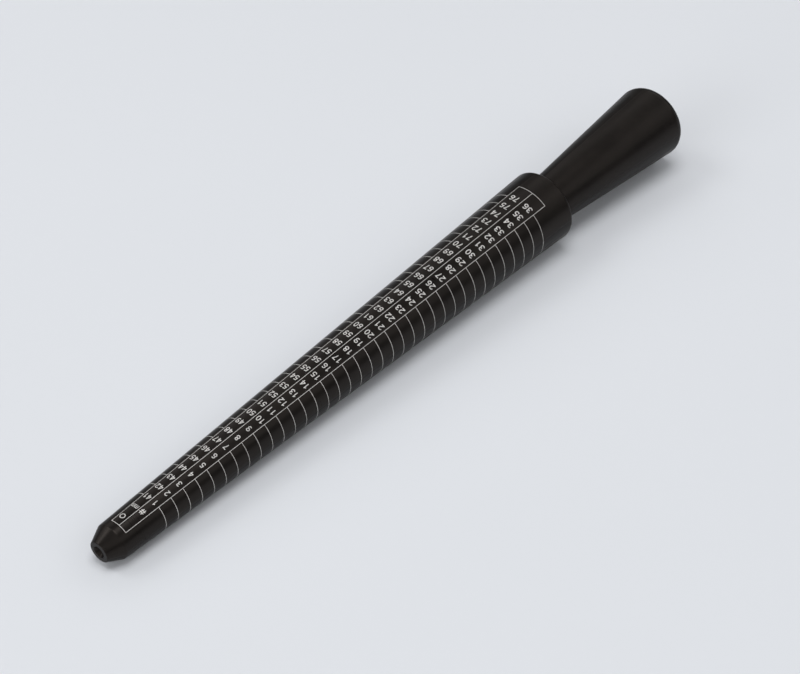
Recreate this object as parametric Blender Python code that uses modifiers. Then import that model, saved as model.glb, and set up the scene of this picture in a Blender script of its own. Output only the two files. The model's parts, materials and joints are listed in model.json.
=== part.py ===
"""A ring mandrel lying on its side: a tapered gauge bar and a flared grip, joined end to end by a threaded stud.

Every piece is turned about one axis. Local +Z runs along that axis towards the narrow tip, and z = 0 is
the rear face of the gauge bar, where the grip seats. Lengths are in metres.
"""

import math

import bmesh
import bpy
from mathutils import Matrix, Vector

# The ring scale. Each size is an inner circumference in millimetres, and the marks are equally spaced.
FIRST_SIZE = 41
LAST_SIZE = 76
CIRCUMFERENCE_STEP = 0.001
MARK_PITCH = 0.00471

# The gauge bar
TIP_TO_FIRST_MARK = 0.0201
LAST_MARK_TO_REAR = 0.01525
TIP_FACE_RADIUS = 0.0035
TIP_EDGE_ROUNDING = 0.0003
NOSE_LENGTH = 0.0051
NOSE_SHOULDER_ROUNDING = 0.001
REAR_EDGE_ROUNDING = 0.0013

# The centre-drilled hole in the tip: a 60 degree countersink and its pilot
CENTRE_MOUTH_RADIUS = 0.002
CENTRE_PILOT_RADIUS = 0.001
CENTRE_DEPTH = 0.0045
COUNTERSINK_HALF_ANGLE = math.radians(30)
DRILL_POINT_HALF_ANGLE = math.radians(59)

# The joint: a spigot on the grip centres it in the gauge bar, and the stud draws the two together
CLEARANCE = 0.0003
SPIGOT_RADIUS = 0.0057
SPIGOT_LENGTH = 0.004
STUD_RADIUS = 0.004
STUD_ROOT_RADIUS = 0.00323
THREAD_PITCH = 0.00125
THREADS_IN_BAR = 15
THREADS_IN_GRIP = 13
SOCKET_ACROSS_FLATS = 0.004
SOCKET_DEPTH = 0.004

# The grip
GRIP_LENGTH = 0.0615
GRIP_NECK_RADIUS = 0.0082
GRIP_END_RADIUS = 0.0132
GRIP_END_ROUNDING = 0.0036
NECK_EDGE_ROUNDING = 0.0003

# Faceting of the turned shapes
ROUND_FACETS = 48
STUD_FACETS = 24
ARC_STEPS = 4
AXIS_MERGE = 0.00001
SHARP_ANGLE = math.radians(30)

STUD_TOP = THREADS_IN_BAR * THREAD_PITCH
STUD_BOTTOM = -THREADS_IN_GRIP * THREAD_PITCH
TAPER = CIRCUMFERENCE_STEP / (2 * math.pi) / MARK_PITCH
FIRST_MARK_RADIUS = FIRST_SIZE * CIRCUMFERENCE_STEP / (2 * math.pi)
SCALE_LENGTH = (LAST_SIZE - FIRST_SIZE) * MARK_PITCH
BAR_LENGTH = TIP_TO_FIRST_MARK + SCALE_LENGTH + LAST_MARK_TO_REAR

# A flat of the faceted cone leans a little less than the cone itself, and that flat lies on the floor.
TILT = math.atan(TAPER * math.cos(math.pi / ROUND_FACETS))


def clear_scene():
    for obj in list(bpy.data.objects):
        bpy.data.objects.remove(obj, do_unlink=True)


def new_collection(name):
    collection = bpy.data.collections.new(name)
    bpy.context.scene.collection.children.link(collection)
    return collection


def metal(name, colour, roughness, metallic):
    material = bpy.data.materials.new(name)
    material.use_nodes = True
    shader = material.node_tree.nodes["Principled BSDF"]
    shader.inputs["Base Color"].default_value = (*colour, 1)
    shader.inputs["Roughness"].default_value = roughness
    shader.inputs["Metallic"].default_value = metallic
    return material


def bar_radius(distance_from_tip):
    """Radius of the gauge bar's cone at a distance from the tip face."""
    return FIRST_MARK_RADIUS + TAPER * (distance_from_tip - TIP_TO_FIRST_MARK)


def drill_point(radius):
    """Length of the cone that a drill leaves at the bottom of its hole."""
    return radius / math.tan(DRILL_POINT_HALF_ANGLE)


def rounded_corner(before, corner, after, rounding):
    """Points of the arc that replaces a corner of an outline."""
    back = (before - corner).normalized()
    ahead = (after - corner).normalized()
    half_angle = back.angle(ahead) / 2
    centre = corner + (back + ahead).normalized() * (rounding / math.sin(half_angle))
    spoke = corner + back * (rounding / math.tan(half_angle)) - centre
    turn = math.copysign(math.pi - 2 * half_angle, ahead.cross(back))
    return [centre + Matrix.Rotation(turn * step / ARC_STEPS, 2) @ spoke for step in range(ARC_STEPS + 1)]


def outline(corners):
    """Outline points from (radius, height, rounding) corners."""
    points = []
    for index, (radius, height, rounding) in enumerate(corners):
        corner = Vector((radius, height))
        if rounding:
            before = Vector(corners[index - 1][:2])
            after = Vector(corners[index + 1][:2])
            points += rounded_corner(before, corner, after, rounding)
        else:
            points.append(corner)
    return points


def turned(name, corners, facets, material, collection):
    """A solid of revolution about local Z. The outline starts and ends on the axis."""
    points = outline(corners)
    profile = bpy.data.meshes.new(name + "_profile")
    edges = [(index, index + 1) for index in range(len(points) - 1)]
    profile.from_pydata([(radius, 0, height) for radius, height in points], edges, [])
    obj = bpy.data.objects.new(name, profile)
    collection.objects.link(obj)
    screw = obj.modifiers.new("Turn", "SCREW")
    screw.steps = facets
    screw.render_steps = facets
    screw.use_merge_vertices = True
    screw.merge_threshold = AXIS_MERGE
    graph = bpy.context.evaluated_depsgraph_get()
    obj.data = bpy.data.meshes.new_from_object(obj.evaluated_get(graph))
    obj.data.name = name
    obj.modifiers.clear()
    bpy.data.meshes.remove(profile)
    obj.data.shade_smooth()
    obj.data.set_sharp_from_angle(angle=SHARP_ANGLE)
    obj.data.materials.clear()
    obj.data.materials.append(material)
    return obj


def make_gauge_bar(collection):
    """The tapered bar: centre hole, flat tip, nose cone, long taper, collar, and the seat for the grip."""
    top = BAR_LENGTH
    countersink = (CENTRE_MOUTH_RADIUS - CENTRE_PILOT_RADIUS) / math.tan(COUNTERSINK_HALF_ANGLE)
    stud_hole = STUD_RADIUS + CLEARANCE
    stud_hole_end = STUD_TOP + CLEARANCE
    seat = SPIGOT_RADIUS + CLEARANCE
    corners = [
        (0, top - CENTRE_DEPTH - drill_point(CENTRE_PILOT_RADIUS), 0),
        (CENTRE_PILOT_RADIUS, top - CENTRE_DEPTH, 0),
        (CENTRE_PILOT_RADIUS, top - countersink, 0),
        (CENTRE_MOUTH_RADIUS, top, 0),
        (TIP_FACE_RADIUS, top, TIP_EDGE_ROUNDING),
        (bar_radius(NOSE_LENGTH), top - NOSE_LENGTH, NOSE_SHOULDER_ROUNDING),
        (bar_radius(BAR_LENGTH), 0, REAR_EDGE_ROUNDING),
        (seat, 0, 0),
        (seat, SPIGOT_LENGTH, 0),
        (stud_hole, SPIGOT_LENGTH, 0),
        (stud_hole, stud_hole_end, 0),
        (0, stud_hole_end + drill_point(stud_hole), 0),
    ]
    black = metal("black_anodised_bar", (0.022, 0.02, 0.02), 0.42, 0.4)
    return turned("gauge_bar", corners, ROUND_FACETS, black, collection)


def make_grip(collection):
    """The grip: spigot and stud hole at its neck, then a straight flare to a rounded end."""
    stud_hole = STUD_RADIUS + CLEARANCE
    stud_hole_end = STUD_BOTTOM - CLEARANCE
    spigot_top = SPIGOT_LENGTH - CLEARANCE
    corners = [
        (0, stud_hole_end - drill_point(stud_hole), 0),
        (stud_hole, stud_hole_end, 0),
        (stud_hole, spigot_top, 0),
        (SPIGOT_RADIUS, spigot_top, 0),
        (SPIGOT_RADIUS, -CLEARANCE, 0),
        (GRIP_NECK_RADIUS, -CLEARANCE, NECK_EDGE_ROUNDING),
        (GRIP_END_RADIUS, -GRIP_LENGTH, GRIP_END_ROUNDING),
        (0, -GRIP_LENGTH, 0),
    ]
    black = metal("black_anodised_grip", (0.022, 0.021, 0.022), 0.4, 0.4)
    return turned("grip", corners, ROUND_FACETS, black, collection)


def make_socket_cutter(collection):
    """The hexagonal prism that cuts the key socket in the stud's upper end."""
    depth = SOCKET_DEPTH + CLEARANCE
    corner_radius = SOCKET_ACROSS_FLATS / math.sqrt(3)
    shape = bmesh.new()
    bmesh.ops.create_cone(
        shape, cap_ends=True, segments=6, radius1=corner_radius, radius2=corner_radius, depth=depth
    )
    mesh = bpy.data.meshes.new("socket_cutter")
    shape.to_mesh(mesh)
    shape.free()
    cutter = bpy.data.objects.new("socket_cutter", mesh)
    cutter.location.z = STUD_TOP + CLEARANCE - depth / 2
    cutter.display_type = "WIRE"
    cutter.hide_render = True
    collection.objects.link(cutter)
    return cutter


def make_stud(collection, cutter):
    """The joining stud: a ridge for each turn of its thread, chamfered ends, and a key socket in its upper end."""
    corners = [(0, STUD_TOP, 0), (STUD_ROOT_RADIUS, STUD_TOP, 0)]
    for turn in range(THREADS_IN_BAR + THREADS_IN_GRIP):
        root = STUD_TOP - (turn + 1) * THREAD_PITCH
        corners.append((STUD_RADIUS, root + THREAD_PITCH / 2, 0))
        corners.append((STUD_ROOT_RADIUS, root, 0))
    corners.append((0, STUD_BOTTOM, 0))
    steel = metal("plain_steel", (0.55, 0.55, 0.56), 0.35, 1)
    stud = turned("joining_stud", corners, STUD_FACETS, steel, collection)
    cut = stud.modifiers.new("Key socket", "BOOLEAN")
    cut.operation = "DIFFERENCE"
    cut.object = cutter
    return stud


def lay_on_floor(axis, parts):
    """Tips the mandrel onto a flat of its cone, centres its box on the origin and puts that flat at z = 0."""
    axis.rotation_euler.y = -(math.pi / 2 + TILT)
    bpy.context.view_layer.update()
    points = [part.matrix_world @ vertex.co for part in parts for vertex in part.data.vertices]
    low = Vector([min(point[side] for point in points) for side in range(3)])
    high = Vector([max(point[side] for point in points) for side in range(3)])
    axis.location = (-(low.x + high.x) / 2, -(low.y + high.y) / 2, -low.z)


def main():
    clear_scene()
    pieces = new_collection("ring_mandrel")
    cutters = new_collection("cutters")
    axis = bpy.data.objects.new("mandrel_axis", None)
    pieces.objects.link(axis)
    socket_cutter = make_socket_cutter(cutters)
    socket_cutter.parent = axis
    bar = make_gauge_bar(pieces)
    grip = make_grip(pieces)
    stud = make_stud(pieces, socket_cutter)
    for part in (bar, grip, stud):
        part.parent = axis
    for part in (bar, grip):
        part.rotation_euler.z = math.pi / ROUND_FACETS
    lay_on_floor(axis, (bar, grip))


main()
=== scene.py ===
"""A ring mandrel lying on a pale table: a black tapered gauge bar with a white size scale, and a flared grip.

The turned pieces are modelled about their own axis. Local +Z runs along it towards the narrow tip, and z = 0
is the rear face of the gauge bar. Lengths are in metres. Angles round the bar are measured at the axis, from
straight up towards the side that carries the scale's numbers.
"""

import json
import math

import bmesh
import bpy
from mathutils import Matrix, Vector
from mathutils.geometry import delaunay_2d_cdt


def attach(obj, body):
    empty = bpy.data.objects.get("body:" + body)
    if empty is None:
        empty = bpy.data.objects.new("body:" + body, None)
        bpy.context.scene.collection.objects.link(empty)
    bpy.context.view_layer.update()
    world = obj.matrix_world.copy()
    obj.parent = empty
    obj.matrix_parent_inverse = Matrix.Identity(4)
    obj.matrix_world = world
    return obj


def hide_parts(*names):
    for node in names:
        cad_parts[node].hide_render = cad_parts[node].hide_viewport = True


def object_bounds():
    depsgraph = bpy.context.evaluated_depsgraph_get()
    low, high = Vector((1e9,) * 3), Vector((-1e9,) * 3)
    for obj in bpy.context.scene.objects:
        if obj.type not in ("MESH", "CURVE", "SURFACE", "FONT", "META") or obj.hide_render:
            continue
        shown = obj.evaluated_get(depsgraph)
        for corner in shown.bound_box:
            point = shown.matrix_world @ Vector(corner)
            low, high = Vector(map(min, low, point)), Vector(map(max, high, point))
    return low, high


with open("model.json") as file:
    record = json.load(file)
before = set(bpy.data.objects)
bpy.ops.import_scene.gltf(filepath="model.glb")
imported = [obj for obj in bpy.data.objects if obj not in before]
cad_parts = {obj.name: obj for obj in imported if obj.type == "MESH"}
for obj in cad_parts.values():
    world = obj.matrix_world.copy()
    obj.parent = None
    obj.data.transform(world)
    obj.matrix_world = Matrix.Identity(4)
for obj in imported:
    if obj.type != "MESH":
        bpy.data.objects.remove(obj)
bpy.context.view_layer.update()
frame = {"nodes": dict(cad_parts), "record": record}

MM = 0.001

# The ring scale
FIRST_SIZE = 41
MARKS = 36
MARK_PITCH = 4.71 * MM
FIRST_MARK = 20.1 * MM
TAPER = 1 * MM / (2 * math.pi) / MARK_PITCH
FIRST_MARK_RADIUS = FIRST_SIZE * MM / (2 * math.pi)

# The gauge bar
BAR_LENGTH = 200.2 * MM
TIP_FACE_RADIUS = 3.5 * MM
TIP_EDGE_ROUNDING = 0.3 * MM
NOSE_LENGTH = 5.1 * MM
NOSE_SHOULDER_ROUNDING = 1.0 * MM
REAR_EDGE_ROUNDING = 1.3 * MM
CENTRE_MOUTH_RADIUS = 2.0 * MM
CENTRE_PILOT_RADIUS = 1.0 * MM
CENTRE_DEPTH = 4.5 * MM
COUNTERSINK_HALF_ANGLE = math.radians(30)
DRILL_POINT_HALF_ANGLE = math.radians(59)

# The joint between the bar and the grip
CLEARANCE = 0.3 * MM
SPIGOT_RADIUS = 5.7 * MM
SPIGOT_LENGTH = 4.0 * MM
STUD_HOLE_RADIUS = 4.3 * MM
BAR_HOLE_END = 19.05 * MM
GRIP_HOLE_END = -16.55 * MM

# The grip
GRIP_LENGTH = 61.5 * MM
GRIP_NECK_RADIUS = 8.2 * MM
GRIP_END_RADIUS = 13.2 * MM
GRIP_END_ROUNDING = 3.6 * MM
NECK_EDGE_ROUNDING = 0.3 * MM
GRIP_MOUNT_OFFSET = 6.0 * MM

# The white marking: three long lines, a cross line at each end, the size ticks, and the numbers in between
LINE_WIDTH = 0.152 * MM
FRAME_START = 7.5 * MM
FRAME_END = 190.8 * MM
RIGHT_LINE = math.radians(39.33)
MIDDLE_LINE = math.radians(12.0)
LEFT_LINE_AT_START = math.radians(-16.8)
LEFT_LINE_AT_END = math.radians(-14.6)
MARK_TOP = 0.015 * MM
MARK_ROOT = -0.02 * MM
TICK_TOP = 0.012 * MM
TICK_STEP = math.radians(1.5)
LONG_LINE_STEP = 2.0 * MM

# The numerals, in units of their height, and their height and width scale at the first and the last mark
PEN = 0.147
PEN_MERGE = 0.0001
PEN_ARC_STEP = 15
BOW_STEPS = 6
WRAP_STEP = 0.1
NUMERAL_WIDTH = 0.66
NUMERAL_ADVANCE = 0.77
NUMERAL_WIDE = (1.65 * MM, 2.28 * MM)
NUMERAL_TALL = (1.9 * MM, 2.45 * MM)

# Meshing
SEGMENTS = 192
ARC_STEPS = 12
SHARP_ANGLE = math.radians(28)


# ---------------------------------------------------------------------------------------------- placement
def mandrel_matrix():
    """Where the mandrel's own frame lies in the row frame, from the record's mount on the grip's end."""
    mount = next(m for m in frame["record"]["mounts"] if m["name"] == "grip_end")
    towards_tip = -Vector(mount["axis"])
    sideways = Vector((0, 1, 0))
    upwards = sideways.cross(towards_tip)
    seat = Vector(mount["pos_m"]) + upwards * GRIP_MOUNT_OFFSET + towards_tip * GRIP_LENGTH
    turned_frame = Matrix((upwards, sideways, towards_tip)).transposed().to_4x4()
    return Matrix.Translation(seat) @ turned_frame


AXIS = mandrel_matrix()


def bar_radius(from_tip):
    return FIRST_MARK_RADIUS + TAPER * (from_tip - FIRST_MARK)


def on_bar(from_tip, angle, lift):
    """A local point on the bar's cone, lifted off its surface."""
    radius = bar_radius(from_tip) + lift
    return Vector((radius * math.cos(angle), -radius * math.sin(angle), BAR_LENGTH - from_tip))


def add_piece(name, mesh, material):
    mesh.transform(AXIS)
    mesh.materials.clear()
    mesh.materials.append(material)
    obj = bpy.data.objects.new(name, mesh)
    bpy.context.scene.collection.objects.link(obj)
    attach(obj, "root")
    return obj


def finished_mesh(name, shape):
    """A smooth mesh from a bmesh, with its normals outwards and its sharp edges kept."""
    bmesh.ops.recalc_face_normals(shape, faces=shape.faces)
    mesh = bpy.data.meshes.new(name)
    shape.to_mesh(mesh)
    shape.free()
    mesh.shade_smooth()
    mesh.set_sharp_from_angle(angle=SHARP_ANGLE)
    return mesh


# ---------------------------------------------------------------------------------------------- turned bodies
def rounded_corner(before, corner, after, rounding):
    """Points on the arc that rounds an outline's corner off."""
    back = (before - corner).normalized()
    ahead = (after - corner).normalized()
    half_angle = back.angle(ahead) / 2
    centre = corner + (back + ahead).normalized() * (rounding / math.sin(half_angle))
    spoke = corner + back * (rounding / math.tan(half_angle)) - centre
    turn = math.copysign(math.pi - 2 * half_angle, ahead.cross(back))
    return [centre + Matrix.Rotation(turn * step / ARC_STEPS, 2) @ spoke for step in range(ARC_STEPS + 1)]


def outline(corners):
    """Outline points from (radius, height, rounding) corners."""
    points = []
    for index, (radius, height, rounding) in enumerate(corners):
        corner = Vector((radius, height))
        if rounding:
            before = Vector(corners[index - 1][:2])
            after = Vector(corners[index + 1][:2])
            points += rounded_corner(before, corner, after, rounding)
        else:
            points.append(corner)
    return points


def turned(name, corners):
    """A closed solid of revolution about local Z. The outline starts and ends on the axis."""
    points = outline(corners)
    shape = bmesh.new()
    first = shape.verts.new((0, 0, points[0].y))
    last = shape.verts.new((0, 0, points[-1].y))
    rings = []
    for radius, height in points[1:-1]:
        ring = []
        for step in range(SEGMENTS):
            angle = 2 * math.pi * step / SEGMENTS
            ring.append(shape.verts.new((radius * math.cos(angle), radius * math.sin(angle), height)))
        rings.append(ring)
    for step in range(SEGMENTS):
        after = (step + 1) % SEGMENTS
        shape.faces.new((first, rings[0][step], rings[0][after]))
        shape.faces.new((last, rings[-1][after], rings[-1][step]))
        for near, far in zip(rings, rings[1:]):
            shape.faces.new((near[step], far[step], far[after], near[after]))
    return finished_mesh(name, shape)


def drill_point(radius):
    """The depth of the cone that a drill leaves at the bottom of a blind hole."""
    return radius / math.tan(DRILL_POINT_HALF_ANGLE)


def bar_mesh():
    top = BAR_LENGTH
    countersink = (CENTRE_MOUTH_RADIUS - CENTRE_PILOT_RADIUS) / math.tan(COUNTERSINK_HALF_ANGLE)
    seat = SPIGOT_RADIUS + CLEARANCE
    return turned("gauge_bar_turned", [
        (0, top - CENTRE_DEPTH - drill_point(CENTRE_PILOT_RADIUS), 0),
        (CENTRE_PILOT_RADIUS, top - CENTRE_DEPTH, 0),
        (CENTRE_PILOT_RADIUS, top - countersink, 0),
        (CENTRE_MOUTH_RADIUS, top, 0),
        (TIP_FACE_RADIUS, top, TIP_EDGE_ROUNDING),
        (bar_radius(NOSE_LENGTH), top - NOSE_LENGTH, NOSE_SHOULDER_ROUNDING),
        (bar_radius(BAR_LENGTH), 0, REAR_EDGE_ROUNDING),
        (seat, 0, 0),
        (seat, SPIGOT_LENGTH, 0),
        (STUD_HOLE_RADIUS, SPIGOT_LENGTH, 0),
        (STUD_HOLE_RADIUS, BAR_HOLE_END, 0),
        (0, BAR_HOLE_END + drill_point(STUD_HOLE_RADIUS), 0),
    ])


def grip_mesh():
    return turned("grip_turned", [
        (0, GRIP_HOLE_END - drill_point(STUD_HOLE_RADIUS), 0),
        (STUD_HOLE_RADIUS, GRIP_HOLE_END, 0),
        (STUD_HOLE_RADIUS, SPIGOT_LENGTH - CLEARANCE, 0),
        (SPIGOT_RADIUS, SPIGOT_LENGTH - CLEARANCE, 0),
        (SPIGOT_RADIUS, -CLEARANCE, 0),
        (GRIP_NECK_RADIUS, -CLEARANCE, NECK_EDGE_ROUNDING),
        (GRIP_END_RADIUS, -GRIP_LENGTH, GRIP_END_ROUNDING),
        (0, -GRIP_LENGTH, 0),
    ])


# ---------------------------------------------------------------------------------------------- marking
def left_line(from_tip):
    """The left line's angle, which drifts along the bar."""
    share = (from_tip - FRAME_START) / (FRAME_END - FRAME_START)
    return LEFT_LINE_AT_START + share * (LEFT_LINE_AT_END - LEFT_LINE_AT_START)


def add_slab(shape, flat, lift):
    """Adds a thin closed slab on the bar's cone. The flat mesh holds (distance from tip, angle, 0) points."""
    tops = {}
    roots = {}
    for vert in flat.verts:
        from_tip, angle = vert.co.x, vert.co.y
        tops[vert] = shape.verts.new(on_bar(from_tip, angle, lift))
        roots[vert] = shape.verts.new(on_bar(from_tip, angle, MARK_ROOT))
    for face in flat.faces:
        shape.faces.new([tops[vert] for vert in face.verts])
        shape.faces.new([roots[vert] for vert in reversed(face.verts)])
    for edge in flat.edges:
        if len(edge.link_faces) == 1:
            loop = edge.link_loops[0]
            a, b = loop.vert, loop.link_loop_next.vert
            shape.faces.new((tops[b], tops[a], roots[a], roots[b]))


def strip(stations):
    """A flat mesh from a row of ((from_tip, angle), (from_tip, angle)) cross edges."""
    flat = bmesh.new()
    rows = [[flat.verts.new((*point, 0)) for point in pair] for pair in stations]
    for (a, b), (c, d) in zip(rows, rows[1:]):
        flat.faces.new((a, b, d, c))
    return flat


def steps_between(start, end, step):
    count = max(1, math.ceil(abs(end - start) / step))
    return [start + (end - start) * index / count for index in range(count + 1)]


def across_line(from_tip, start_angle, end_angle):
    """A line round the bar at one distance from the tip."""
    half = LINE_WIDTH / 2
    return strip([
        ((from_tip - half, angle), (from_tip + half, angle))
        for angle in steps_between(start_angle, end_angle, TICK_STEP)
    ])


def along_line(angle_at):
    """A line along the bar. angle_at gives its angle at a distance from the tip."""
    stations = []
    for from_tip in steps_between(FRAME_START - LINE_WIDTH / 2, FRAME_END + LINE_WIDTH / 2, LONG_LINE_STEP):
        half = LINE_WIDTH / 2 / bar_radius(from_tip)
        stations.append(((from_tip, angle_at(from_tip) + half), (from_tip, angle_at(from_tip) - half)))
    return strip(stations)


def mark_at(index):
    return FIRST_MARK + index * MARK_PITCH


def ticks_mesh():
    shape = bmesh.new()
    for index in range(MARKS):
        from_tip = mark_at(index)
        flat = across_line(from_tip, RIGHT_LINE, 2 * math.pi + left_line(from_tip))
        add_slab(shape, flat, TICK_TOP)
        flat.free()
    return finished_mesh("size_ticks", shape)


def frame_mesh():
    shape = bmesh.new()
    lines = [along_line(angle_at) for angle_at in (lambda s: RIGHT_LINE, lambda s: MIDDLE_LINE, left_line)]
    for flat in lines:
        add_slab(shape, flat, MARK_TOP)
        flat.free()
    for from_tip in (FRAME_START, FRAME_END):
        flat = across_line(from_tip, left_line(from_tip), RIGHT_LINE)
        add_slab(shape, flat, TICK_TOP)
        flat.free()
    return finished_mesh("scale_frame", shape)


def arc(centre, radii, start, end):
    """Points on an ellipse between two angles in degrees, counterclockwise when the end is the larger."""
    count = max(2, round(abs(end - start) / PEN_ARC_STEP))
    points = []
    for index in range(count + 1):
        angle = math.radians(start + (end - start) * index / count)
        points.append((centre[0] + radii[0] * math.cos(angle), centre[1] + radii[1] * math.sin(angle)))
    return points


def bow(start, bend, end):
    """Points on a curve from start to end that leans towards bend."""
    points = []
    for index in range(BOW_STEPS + 1):
        t = index / BOW_STEPS
        points.append(tuple(
            (1 - t) ** 2 * a + 2 * t * (1 - t) * b + t ** 2 * c for a, b, c in zip(start, bend, end)
        ))
    return points


def half_turned(strokes):
    """The same strokes turned upside down about the middle of a numeral's box."""
    return [[(NUMERAL_WIDTH - x, 1 - y) for x, y in points] for points in strokes]


# Centre lines of the pen strokes of each sign, in a box one unit high
SIX = [
    arc((0.335, 0.300), (0.250, 0.222), 0, 360),
    arc((0.355, 0.470), (0.272, 0.455), 166, 52),
]
STROKES = {
    "0": [arc((0.330, 0.500), (0.250, 0.425), 0, 360)],
    "1": [[(0.390, 0.0), (0.390, 1.0)], bow((0.385, 0.930), (0.300, 0.790), (0.120, 0.735))],
    "2": [
        arc((0.325, 0.685), (0.248, 0.240), 172, -28),
        bow((0.548, 0.580), (0.470, 0.400), (0.095, 0.085)),
        [(0.030, 0.075), (0.610, 0.075)],
    ],
    "3": [
        arc((0.305, 0.740), (0.220, 0.185), 165, -90),
        arc((0.310, 0.305), (0.262, 0.230), 90, -164),
        [(0.220, 0.545), (0.320, 0.545)],
    ],
    "4": [
        [(0.470, 0.0), (0.470, 1.0)],
        [(0.455, 0.945), (0.070, 0.320)],
        [(0.015, 0.300), (0.640, 0.300)],
    ],
    "5": [
        [(0.165, 0.925), (0.590, 0.925)],
        [(0.190, 0.960), (0.105, 0.470)],
        arc((0.315, 0.325), (0.262, 0.250), 142, -162),
    ],
    "6": SIX,
    "7": [[(0.040, 0.925), (0.630, 0.925)], bow((0.575, 0.910), (0.290, 0.540), (0.245, 0.0))],
    "8": [
        arc((0.330, 0.745), (0.212, 0.180), 0, 360),
        arc((0.330, 0.300), (0.258, 0.225), 0, 360),
    ],
    "9": half_turned(SIX),
    "ring": [arc((0.430, 0.500), (0.425, 0.425), 0, 360)],
    "m": [
        [(0.075, 0.0), (0.075, 0.660)],
        [(0.500, 0.0), (0.500, 0.660)],
        [(0.925, 0.0), (0.925, 0.660)],
        arc((0.2875, 0.660), (0.2125, 0.265), 180, 0),
        arc((0.7125, 0.660), (0.2125, 0.265), 180, 0),
    ],
    "number": [
        [(0.250, 0.0), (0.370, 1.0)],
        [(0.570, 0.0), (0.690, 1.0)],
        [(0.060, 0.320), (0.840, 0.320)],
        [(0.100, 0.680), (0.880, 0.680)],
    ],
}


def ribbon(points):
    """Left and right edge points of a pen stroke along a centre line."""
    closed = math.dist(points[0], points[-1]) < PEN_MERGE
    sides = []
    for index, point in enumerate(points):
        before = points[index - 1] if index else (points[-2] if closed else None)
        after = points[index + 1] if index < len(points) - 1 else (points[1] if closed else None)
        ahead = Vector(after or point) - Vector(before or point)
        across = Vector((-ahead.y, ahead.x)).normalized() * PEN / 2
        sides.append((Vector(point) + across, Vector(point) - across))
    return sides


def drawn_sign(sign):
    """Points and faces of a sign: the union of its strokes, cut into narrow columns so that it can wrap."""
    points = []
    edges = []
    quads = []
    for stroke in STROKES[sign]:
        sides = ribbon(stroke)
        first = len(points)
        for left, right in sides:
            points += [left, right]
        for index in range(first, len(points) - 2, 2):
            quads.append((index, index + 1, index + 3, index + 2))
    low = min(point.x for point in points)
    high = max(point.x for point in points)
    for column in range(1, math.ceil((high - low) / WRAP_STEP)):
        x = low + column * WRAP_STEP
        edges.append((len(points), len(points) + 1))
        points += [Vector((x, -PEN)), Vector((x, 1 + PEN))]
    cut = delaunay_2d_cdt(points, edges, quads, 0, PEN_MERGE)
    return cut[0], [face for face, origins in zip(cut[2], cut[5]) if origins]


def write_signs(shape, signs, advance, wide, tall, from_tip, angle):
    """Writes signs round a place on the bar, with their tops to the tip, reading from right line to left."""
    radius = bar_radius(from_tip)
    start = -(advance * (len(signs) - 1) + NUMERAL_WIDTH) / 2
    for place, sign in enumerate(signs):
        points, faces = SIGNS[sign]
        flat = bmesh.new()
        verts = []
        for point in points:
            across = (start + place * advance + point.x) * wide
            up = (point.y - 0.5) * tall
            verts.append(flat.verts.new((from_tip - up, angle - across / radius, 0)))
        for face in faces:
            flat.faces.new([verts[index] for index in face])
        loose = [vert for vert in flat.verts if not vert.link_faces]
        bmesh.ops.delete(flat, geom=loose, context="VERTS")
        add_slab(shape, flat, MARK_TOP)
        flat.free()


def numbers_mesh(name, first_number, column):
    """Numbers in one column of the scale, one at each tick."""
    shape = bmesh.new()
    for index in range(MARKS):
        share = index / (MARKS - 1)
        wide = NUMERAL_WIDE[0] + share * (NUMERAL_WIDE[1] - NUMERAL_WIDE[0])
        tall = NUMERAL_TALL[0] + share * (NUMERAL_TALL[1] - NUMERAL_TALL[0])
        from_tip = mark_at(index)
        number = str(first_number + index)
        write_signs(shape, number, NUMERAL_ADVANCE, wide, tall, from_tip, column(from_tip))
    return finished_mesh(name, shape)


def header_mesh():
    """The signs above the columns: a ring and the unit for circumferences, a number sign for finger sizes."""
    shape = bmesh.new()
    for signs, from_tip, column, advance, wide, tall in HEADER:
        write_signs(shape, signs, advance, wide, tall, from_tip, column(from_tip))
    return finished_mesh("column_signs", shape)


def size_column(from_tip):
    """The middle of the finger sizes' column, at the same angle all along the bar."""
    return (RIGHT_LINE + MIDDLE_LINE) / 2


def circumference_column(from_tip):
    """The middle of the circumferences' column."""
    return (MIDDLE_LINE + left_line(from_tip)) / 2


SIGNS = {sign: drawn_sign(sign) for sign in STROKES}
HEADER = (
    (["ring"], 10.5 * MM, circumference_column, 0, 1.8 * MM, 1.8 * MM),
    (["m", "m"], 15.4 * MM, circumference_column, 1.12, 1.15 * MM, 1.3 * MM),
    (["number"], 15.4 * MM, size_column, 0, 1.9 * MM, 1.9 * MM),
)


# ---------------------------------------------------------------------------------------------- materials
BUMP_DEPTH = 0.01 * MM
DYE_DARK = (0.0148, 0.0128, 0.0117)
BAR_DYE_LIGHT = (0.0188, 0.0158, 0.0140)
GRIP_DYE_LIGHT = (0.0186, 0.0156, 0.0139)


def new_material(name):
    """A material with its node tree, its shader, and coordinates in the mandrel's own frame."""
    material = bpy.data.materials.new(name)
    material.use_nodes = True
    tree = material.node_tree
    coordinates = tree.nodes.new("ShaderNodeTexCoord")
    own_frame = tree.nodes.new("ShaderNodeMapping")
    to_own = AXIS.inverted()
    own_frame.inputs["Location"].default_value = to_own.translation
    own_frame.inputs["Rotation"].default_value = to_own.to_euler()
    tree.links.new(coordinates.outputs["Object"], own_frame.inputs["Vector"])
    return material, tree, tree.nodes["Principled BSDF"], own_frame.outputs["Vector"]


def add_noise(tree, place, scale, detail):
    noise = tree.nodes.new("ShaderNodeTexNoise")
    noise.inputs["Scale"].default_value = scale
    noise.inputs["Detail"].default_value = detail
    tree.links.new(place, noise.inputs["Vector"])
    return noise


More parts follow.
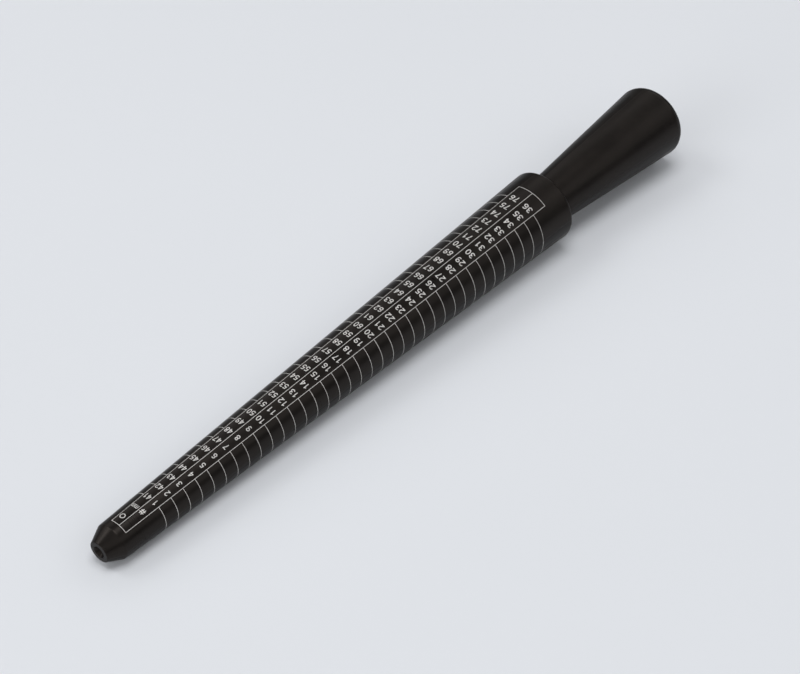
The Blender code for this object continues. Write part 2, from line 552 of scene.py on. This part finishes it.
def add_tone(tree, shader, noise, dark, light, start=0, end=1):
    """Colours the shader from dark to light as the noise rises from start to end."""
    tone = tree.nodes.new("ShaderNodeValToRGB")
    first, last = tone.color_ramp.elements
    first.position = start
    first.color = (*dark, 1)
    last.position = end
    last.color = (*light, 1)
    tree.links.new(noise.outputs["Fac"], tone.inputs["Fac"])
    tree.links.new(tone.outputs["Color"], shader.inputs["Base Color"])


def add_roughness(tree, shader, amount, roughness, start=0, end=1):
    """Spreads the shader's roughness over its two values as the amount rises from start to end."""
    spread = tree.nodes.new("ShaderNodeMapRange")
    spread.inputs["From Min"].default_value = start
    spread.inputs["From Max"].default_value = end
    spread.inputs["To Min"].default_value = roughness[0]
    spread.inputs["To Max"].default_value = roughness[1]
    tree.links.new(amount, spread.inputs["Value"])
    tree.links.new(spread.outputs["Result"], shader.inputs["Roughness"])


def add_bump(tree, shader, noise, strength, under=None):
    """Bumps the shader's surface by a noise, on top of the bump under it if there is one."""
    bump = tree.nodes.new("ShaderNodeBump")
    bump.inputs["Strength"].default_value = strength
    bump.inputs["Distance"].default_value = BUMP_DEPTH
    tree.links.new(noise.outputs["Fac"], bump.inputs["Height"])
    if under:
        tree.links.new(under.outputs["Normal"], bump.inputs["Normal"])
    tree.links.new(bump.outputs["Normal"], shader.inputs["Normal"])
    return bump


def black_anodised(name, light, roughness, lines):
    """Black anodised aluminium: a dark dye over the metal, with clouds, turning lines and a matt grain."""
    material, tree, shader, place = new_material(name)
    shader.inputs["Metallic"].default_value = 0.52
    shader.inputs["IOR"].default_value = 1.5
    shader.inputs["Specular IOR Level"].default_value = 0.7
    shader.inputs["Specular Tint"].default_value = (0.30, 0.27, 0.25, 1)

    cloud = add_noise(tree, place, scale=70, detail=5)
    cloud.inputs["Roughness"].default_value = 0.6
    add_tone(tree, shader, cloud, DYE_DARK, light, start=0.35, end=0.68)

    stretch = tree.nodes.new("ShaderNodeMapping")
    stretch.inputs["Scale"].default_value = (0.01, 0.01, 1)
    tree.links.new(place, stretch.inputs["Vector"])
    turning = add_noise(tree, stretch.outputs["Vector"], scale=3500, detail=3)
    both = tree.nodes.new("ShaderNodeMix")
    both.inputs["Factor"].default_value = 0.35
    tree.links.new(cloud.outputs["Fac"], both.inputs["A"])
    tree.links.new(turning.outputs["Fac"], both.inputs["B"])
    add_roughness(tree, shader, both.outputs["Result"], roughness, start=0.3, end=0.7)

    grain = add_noise(tree, place, scale=2600, detail=2)
    ridges = add_bump(tree, shader, turning, lines)
    add_bump(tree, shader, grain, 0.35, under=ridges)
    return material


def white_marking():
    """White marking: a matt light grey, a little uneven."""
    material, tree, shader, place = new_material("laser_marked_white")
    shader.inputs["Roughness"].default_value = 0.7
    shader.inputs["Specular IOR Level"].default_value = 0.3
    speckle = add_noise(tree, place, scale=3000, detail=2)
    add_tone(tree, shader, speckle, (0.44, 0.431, 0.414), (0.69, 0.681, 0.664), start=0.3, end=0.6)
    add_bump(tree, shader, speckle, 0.3)
    return material


def machined_steel():
    """Plain machined steel, faintly mottled."""
    material, tree, shader, place = new_material("machined_steel")
    shader.inputs["Metallic"].default_value = 1
    mottle = add_noise(tree, place, scale=1800, detail=4)
    add_tone(tree, shader, mottle, (0.42, 0.42, 0.43), (0.64, 0.64, 0.65))
    add_roughness(tree, shader, mottle.outputs["Fac"], (0.25, 0.45))
    add_bump(tree, shader, mottle, 0.3)
    return material


def table_paper():
    """A pale cool-white sheet."""
    material, tree, shader, place = new_material("pale_table")
    shader.inputs["Roughness"].default_value = 0.75
    shader.inputs["Specular IOR Level"].default_value = 0.25
    cloud = add_noise(tree, place, scale=6, detail=3)
    add_tone(tree, shader, cloud, (0.724, 0.746, 0.783), (0.739, 0.761, 0.800))
    return material


# ---------------------------------------------------------------------------------------------- the object
BAR_BLACK = black_anodised("black_anodised_bar", BAR_DYE_LIGHT, roughness=(0.26, 0.36), lines=0.30)
GRIP_BLACK = black_anodised("black_anodised_grip", GRIP_DYE_LIGHT, roughness=(0.30, 0.40), lines=0.25)
WHITE = white_marking()

bar = add_piece("gauge_bar_turned", bar_mesh(), BAR_BLACK)
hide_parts("gauge_bar")

grip = add_piece("grip_turned", grip_mesh(), GRIP_BLACK)
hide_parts("grip")

stud = frame["nodes"]["joining_stud"]
for stud_slot in stud.material_slots:
    stud_slot.material = machined_steel()

add_piece("size_ticks", ticks_mesh(), WHITE)
add_piece("scale_frame", frame_mesh(), WHITE)
for name, first_number, column in (
    ("finger_size_numbers", 1, size_column),
    ("circumference_numbers", FIRST_SIZE, circumference_column),
):
    add_piece(name, numbers_mesh(name, first_number, column), WHITE)
add_piece("column_signs", header_mesh(), WHITE)


# ---------------------------------------------------------------------------------------------- studio
FLOOR_HALF = 3.0
FLOOR_GAP = 0.005 * MM
SOFTBOX_SIZE = 1.8
KEY_SIZE = 1.2
SOFTBOX_DISTANCE = 3.3
SOFTBOX_CLEARANCE = 0.03

# An even ring of weak softboxes
RING_BOXES = 8
RING_ELEVATION = 35
RING_RADIANCE = 1.0

# A large softbox overhead, a smaller one for the nose, and a low one behind for the bar's far edge. Each has
# its elevation and azimuth in degrees, the azimuth from +X towards +Y, then its radiance and its size.
SOFTBOXES = (
    (85, 240, 5.0, SOFTBOX_SIZE),
    (50, 120, 3.0, KEY_SIZE),
    (15, 180, 3.0, SOFTBOX_SIZE),
)


# The room's dim light, and how bright it looks straight into the camera
ROOM_COLOUR = (0.95, 0.97, 1.0, 1)
ROOM_STRENGTH = 0.02
BACKDROP_STRENGTH = 0.75

# The camera stands where the photograph's perspective puts it. Its lens and sensor are in millimetres.
LENS = 97.458
SENSOR_WIDTH = 36
CAMERA_PLACE = Vector((-0.38576, -0.33915, 0.45797))
CAMERA_BACKWARDS = Vector((-0.5588, -0.4947, 0.6656)).normalized()
CLIP_START = 0.01
CLIP_END = 20


def add_floor():
    shape = bmesh.new()
    corners = [(-1, -1), (1, -1), (1, 1), (-1, 1)]
    shape.faces.new([shape.verts.new((x * FLOOR_HALF, y * FLOOR_HALF, 0)) for x, y in corners])
    mesh = bpy.data.meshes.new("table_top")
    shape.to_mesh(mesh)
    shape.free()
    mesh.materials.append(table_paper())
    obj = bpy.data.objects.new("table_top", mesh)
    obj.location.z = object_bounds()[0].z - FLOOR_GAP
    bpy.context.scene.collection.objects.link(obj)


def add_softbox(elevation, azimuth, radiance, size):
    """A square soft light aimed at the object. Its radiance is what a mirror would show."""
    e = math.radians(elevation)
    a = math.radians(azimuth)
    towards = Vector((math.cos(e) * math.cos(a), math.cos(e) * math.sin(a), math.sin(e)))
    name = f"softbox_{elevation}_{azimuth}_{size}"
    data = bpy.data.lights.new(name, "AREA")
    data.shape = "SQUARE"
    data.size = size
    data.energy = radiance * math.pi * size ** 2
    obj = bpy.data.objects.new(name, data)
    obj.location = towards * SOFTBOX_DISTANCE
    obj.location.z = max(obj.location.z, size / 2 * math.cos(e) + SOFTBOX_CLEARANCE)
    obj.rotation_mode = "QUATERNION"
    obj.rotation_quaternion = towards.to_track_quat("Z", "Y")
    bpy.context.scene.collection.objects.link(obj)


def add_world():
    """A dim room that looks pale straight into the camera, so that no view has a dark backdrop."""
    world = bpy.data.worlds.new("studio")
    bpy.context.scene.world = world
    world.use_nodes = True
    nodes = world.node_tree.nodes
    links = world.node_tree.links
    room = nodes["Background"]
    room.inputs["Color"].default_value = ROOM_COLOUR
    room.inputs["Strength"].default_value = ROOM_STRENGTH
    backdrop = nodes.new("ShaderNodeBackground")
    backdrop.inputs["Color"].default_value = ROOM_COLOUR
    backdrop.inputs["Strength"].default_value = BACKDROP_STRENGTH
    path = nodes.new("ShaderNodeLightPath")
    either = nodes.new("ShaderNodeMixShader")
    links.new(path.outputs["Is Camera Ray"], either.inputs["Fac"])
    links.new(room.outputs["Background"], either.inputs[1])
    links.new(backdrop.outputs["Background"], either.inputs[2])
    links.new(either.outputs["Shader"], nodes["World Output"].inputs["Surface"])


def add_camera():
    data = bpy.data.cameras.new("camera")
    data.sensor_width = SENSOR_WIDTH
    data.lens = LENS
    data.clip_start = CLIP_START
    data.clip_end = CLIP_END
    obj = bpy.data.objects.new("camera", data)
    obj.location = CAMERA_PLACE
    obj.rotation_mode = "QUATERNION"
    obj.rotation_quaternion = (-CAMERA_BACKWARDS).to_track_quat("-Z", "Y")
    bpy.context.scene.collection.objects.link(obj)
    bpy.context.scene.camera = obj


add_floor()
add_world()
for elevation, azimuth, radiance, size in SOFTBOXES:
    add_softbox(elevation, azimuth, radiance, size)
for index in range(RING_BOXES):
    add_softbox(RING_ELEVATION, (index + 0.5) * 360 / RING_BOXES, RING_RADIANCE, SOFTBOX_SIZE)
add_camera()
bpy.context.scene.view_settings.view_transform = "Standard"
